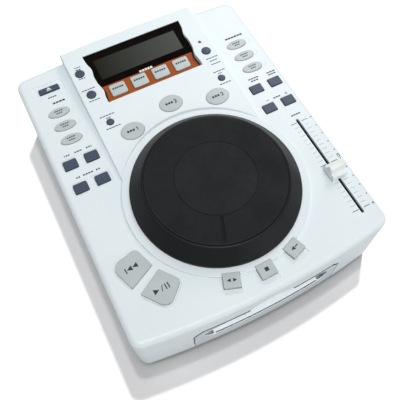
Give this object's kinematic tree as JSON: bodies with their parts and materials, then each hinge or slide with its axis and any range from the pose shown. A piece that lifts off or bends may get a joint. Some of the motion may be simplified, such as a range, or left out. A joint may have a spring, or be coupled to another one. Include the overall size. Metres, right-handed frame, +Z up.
{
  "type": "tabletop disc player",
  "caption": "Tabletop disc player for a disc jockey: large jog wheel, pitch fader, sunken display, key fields and a disc tray that slides out at the front.",
  "frame": {"origin": "centre of the footprint, at table level under the feet", "axes": "+Z up, -Y towards the user (front with the disc tray), +X to the user's right (pitch fader)"},
  "size_m": [0.238, 0.3, 0.097],
  "materials": {
    "shell_white": "fine grained moulded, satin",
    "key_slate": "satin",
    "key_grey": "satin",
    "window_black": "polished",
    "bezel_orange": "satin",
    "lamp_red": "clear tinted",
    "rubber_black": "matt",
    "steel": "zinc plated",
    "bronze": "sintered",
    "board_green": "solder mask",
    "plastic_black": "fine grained moulded",
    "jog_anthracite": "satin, turned grooves",
    "socket_metal": "plated",
    "plastic_white": "satin"
  },
  "bodies": {
    "casing": {"top_case": "shell_white", "bottom_case": "shell_white", "rear_panel": "plastic_black", "display_window": "window_black", "lcd_module": "plastic_black", "effect_bezel": "bezel_orange", "status_led": "lamp_red", "rubber_feet": "rubber_black", "case_screws": "steel", "panel_board": "board_green", "main_board": "board_green", "fader_body": "steel", "jog_bearing": "bronze", "mech_frame": "plastic_black", "spindle_motor": "steel", "output_sockets": "socket_metal", "power_inlet": "plastic_black"},
    "jog": {"jog_wheel": "jog_anthracite", "jog_pad": "jog_anthracite", "jog_shaft": "steel"},
    "tray": {"disc_tray": "plastic_black", "tray_front": "shell_white"},
    "tray_gear": {"tray_gear": "plastic_white"},
    "spindle": {"disc_spindle": "plastic_black"},
    "clamp": {"disc_clamp": "plastic_white"},
    "sled": {"pickup_sled": "steel"},
    "pitch": {"pitch_knob": "plastic_white"},
    "power": {"power_switch": "plastic_black"},
    "eject_key": {"eject_key": "key_slate"},
    "loop_key_1": {"loop_key_1": "key_grey"},
    "loop_key_2": {"loop_key_2": "key_grey"},
    "loop_key_3": {"loop_key_3": "key_grey"},
    "sample_key_1": {"sample_key_1": "key_grey"},
    "sample_key_2": {"sample_key_2": "key_grey"},
    "sample_key_3": {"sample_key_3": "key_grey"},
    "skip_back_key": {"skip_back_key": "key_slate"},
    "skip_forward_key": {"skip_forward_key": "key_slate"},
    "search_back_key": {"search_back_key": "key_slate"},
    "search_forward_key": {"search_forward_key": "key_slate"},
    "range_key": {"range_key": "key_slate"},
    "master_key": {"master_key": "key_slate"},
    "bend_down_key": {"bend_down_key": "key_slate"},
    "bend_up_key": {"bend_up_key": "key_slate"},
    "cue_key": {"cue_key": "key_grey"},
    "play_key": {"play_key": "key_grey"},
    "scratch_key": {"scratch_key": "key_grey"},
    "brake_key": {"brake_key": "key_grey"},
    "reverse_key": {"reverse_key": "key_grey"},
    "time_key": {"time_key": "key_slate"},
    "mode_key": {"mode_key": "key_slate"},
    "relay_key": {"relay_key": "key_slate"},
    "record_key": {"record_key": "key_slate"},
    "tap_key": {"tap_key": "key_slate"},
    "cue_point_key_1": {"cue_point_key_1": "key_grey"},
    "cue_point_key_2": {"cue_point_key_2": "key_grey"},
    "cue_point_key_3": {"cue_point_key_3": "key_grey"},
    "effect_key_1": {"effect_key_1": "key_grey"},
    "effect_key_2": {"effect_key_2": "key_grey"},
    "effect_key_3": {"effect_key_3": "key_grey"},
    "effect_key_4": {"effect_key_4": "key_grey"}
  },
  "joints": [
    {"name": "jog_spin", "type": "hinge", "parent": "casing", "child": "jog", "pos_m": [0.0015, -0.046, 0.09], "axis": [0, 0, 1], "continuous": true},
    {"name": "tray_slide", "type": "slide", "parent": "casing", "child": "tray", "axis": [0, -1, 0], "range_m": [0, 0.136]},
    {"name": "tray_gear_spin", "type": "hinge", "parent": "casing", "child": "tray_gear", "pos_m": [0.034, -0.12, 0.027], "axis": [0, 0, 1], "range_deg": [-650, 5]},
    {"name": "spindle_spin", "type": "hinge", "parent": "casing", "child": "spindle", "pos_m": [0, -0.076, 0.03], "axis": [0, 0, 1], "continuous": true},
    {"name": "clamp_spin", "type": "hinge", "parent": "casing", "child": "clamp", "pos_m": [0, -0.076, 0.04], "axis": [0, 0, 1], "continuous": true},
    {"name": "sled_slide", "type": "slide", "parent": "casing", "child": "sled", "axis": [0, 1, 0], "range_m": [0, 0.034]},
    {"name": "pitch_slide", "type": "slide", "parent": "casing", "child": "pitch", "axis": [0, 1, 0], "range_m": [-0.04, 0.06]},
    {"name": "power_rock", "type": "hinge", "parent": "casing", "child": "power", "pos_m": [-0.058, 0.1355, 0.039], "axis": [-1, 0, 0], "range_deg": [0, 14]},
    {"name": "eject_key_press", "type": "slide", "parent": "casing", "child": "eject_key", "axis": [0, 0, -1], "range_m": [0, 0.0008], "stiffness_N_per_m": 400},
    {"name": "loop_key_1_press", "type": "slide", "parent": "casing", "child": "loop_key_1", "axis": [0, 0, -1], "range_m": [0, 0.0008], "stiffness_N_per_m": 400},
    {"name": "loop_key_2_press", "type": "slide", "parent": "casing", "child": "loop_key_2", "axis": [0, 0, -1], "range_m": [0, 0.0008], "stiffness_N_per_m": 400},
    {"name": "loop_key_3_press", "type": "slide", "parent": "casing", "child": "loop_key_3", "axis": [0, 0, -1], "range_m": [0, 0.0008], "stiffness_N_per_m": 400},
    {"name": "sample_key_1_press", "type": "slide", "parent": "casing", "child": "sample_key_1", "axis": [0, 0, -1], "range_m": [0, 0.0008], "stiffness_N_per_m": 400},
    {"name": "sample_key_2_press", "type": "slide", "parent": "casing", "child": "sample_key_2", "axis": [0, 0, -1], "range_m": [0, 0.0008], "stiffness_N_per_m": 400},
    {"name": "sample_key_3_press", "type": "slide", "parent": "casing", "child": "sample_key_3", "axis": [0, 0, -1], "range_m": [0, 0.0008], "stiffness_N_per_m": 400},
    {"name": "skip_back_key_press", "type": "slide", "parent": "casing", "child": "skip_back_key", "axis": [0, 0, -1], "range_m": [0, 0.0008], "stiffness_N_per_m": 400},
    {"name": "skip_forward_key_press", "type": "slide", "parent": "casing", "child": "skip_forward_key", "axis": [0, 0, -1], "range_m": [0, 0.0008], "stiffness_N_per_m": 400},
    {"name": "search_back_key_press", "type": "slide", "parent": "casing", "child": "search_back_key", "axis": [0, 0, -1], "range_m": [0, 0.0008], "stiffness_N_per_m": 400},
    {"name": "search_forward_key_press", "type": "slide", "parent": "casing", "child": "search_forward_key", "axis": [0, 0, -1], "range_m": [0, 0.0008], "stiffness_N_per_m": 400},
    {"name": "range_key_press", "type": "slide", "parent": "casing", "child": "range_key", "axis": [0, 0, -1], "range_m": [0, 0.0008], "stiffness_N_per_m": 400},
    {"name": "master_key_press", "type": "slide", "parent": "casing", "child": "master_key", "axis": [0, 0, -1], "range_m": [0, 0.0008], "stiffness_N_per_m": 400},
    {"name": "bend_down_key_press", "type": "slide", "parent": "casing", "child": "bend_down_key", "axis": [0, 0, -1], "range_m": [0, 0.0008], "stiffness_N_per_m": 400},
    {"name": "bend_up_key_press", "type": "slide", "parent": "casing", "child": "bend_up_key", "axis": [0, 0, -1], "range_m": [0, 0.0008], "stiffness_N_per_m": 400},
    {"name": "cue_key_press", "type": "slide", "parent": "casing", "child": "cue_key", "axis": [0, 0, -1], "range_m": [0, 0.0008], "stiffness_N_per_m": 400},
    {"name": "play_key_press", "type": "slide", "parent": "casing", "child": "play_key", "axis": [0, 0, -1], "range_m": [0, 0.0008], "stiffness_N_per_m": 400},
    {"name": "scratch_key_press", "type": "slide", "parent": "casing", "child": "scratch_key", "axis": [0, 0, -1], "range_m": [0, 0.0008], "stiffness_N_per_m": 400},
    {"name": "brake_key_press", "type": "slide", "parent": "casing", "child": "brake_key", "axis": [0, 0, -1], "range_m": [0, 0.0008], "stiffness_N_per_m": 400},
    {"name": "reverse_key_press", "type": "slide", "parent": "casing", "child": "reverse_key", "axis": [0, 0, -1], "range_m": [0, 0.0008], "stiffness_N_per_m": 400},
    {"name": "time_key_press", "type": "slide", "parent": "casing", "child": "time_key", "axis": [0, 0.0501, -0.9987], "range_m": [0, 0.0008], "stiffness_N_per_m": 400},
    {"name": "mode_key_press", "type": "slide", "parent": "casing", "child": "mode_key", "axis": [0, 0.0501, -0.9987], "range_m": [0, 0.0008], "stiffness_N_per_m": 400},
    {"name": "relay_key_press", "type": "slide", "parent": "casing", "child": "relay_key", "axis": [0, 0.0501, -0.9987], "range_m": [0, 0.0008], "stiffness_N_per_m": 400},
    {"name": "record_key_press", "type": "slide", "parent": "casing", "child": "record_key", "axis": [0, 0.0501, -0.9987], "range_m": [0, 0.0008], "stiffness_N_per_m": 400},
    {"name": "tap_key_press", "type": "slide", "parent": "casing", "child": "tap_key", "axis": [0, 0.0501, -0.9987], "range_m": [0, 0.0008], "stiffness_N_per_m": 400},
    {"name": "cue_point_key_1_press", "type": "slide", "parent": "casing", "child": "cue_point_key_1", "axis": [0, 0.0501, -0.9987], "range_m": [0, 0.0008], "stiffness_N_per_m": 400},
    {"name": "cue_point_key_2_press", "type": "slide", "parent": "casing", "child": "cue_point_key_2", "axis": [0, 0.0501, -0.9987], "range_m": [0, 0.0008], "stiffness_N_per_m": 400},
    {"name": "cue_point_key_3_press", "type": "slide", "parent": "casing", "child": "cue_point_key_3", "axis": [0, 0.0501, -0.9987], "range_m": [0, 0.0008], "stiffness_N_per_m": 400},
    {"name": "effect_key_1_press", "type": "slide", "parent": "casing", "child": "effect_key_1", "axis": [0, 0.116, -0.9932], "range_m": [0, 0.0008], "stiffness_N_per_m": 400},
    {"name": "effect_key_2_press", "type": "slide", "parent": "casing", "child": "effect_key_2", "axis": [0, 0.116, -0.9932], "range_m": [0, 0.0008], "stiffness_N_per_m": 400},
    {"name": "effect_key_3_press", "type": "slide", "parent": "casing", "child": "effect_key_3", "axis": [0, 0.116, -0.9932], "range_m": [0, 0.0008], "stiffness_N_per_m": 400},
    {"name": "effect_key_4_press", "type": "slide", "parent": "casing", "child": "effect_key_4", "axis": [0, 0.116, -0.9932], "range_m": [0, 0.0008], "stiffness_N_per_m": 400}
  ],
  "couplings": [
    {"joint": "tray_gear_spin", "follows": "tray_slide", "rad_per_m": -83.333},
    {"joint": "clamp_spin", "follows": "spindle_spin", "ratio": 1}
  ]
}
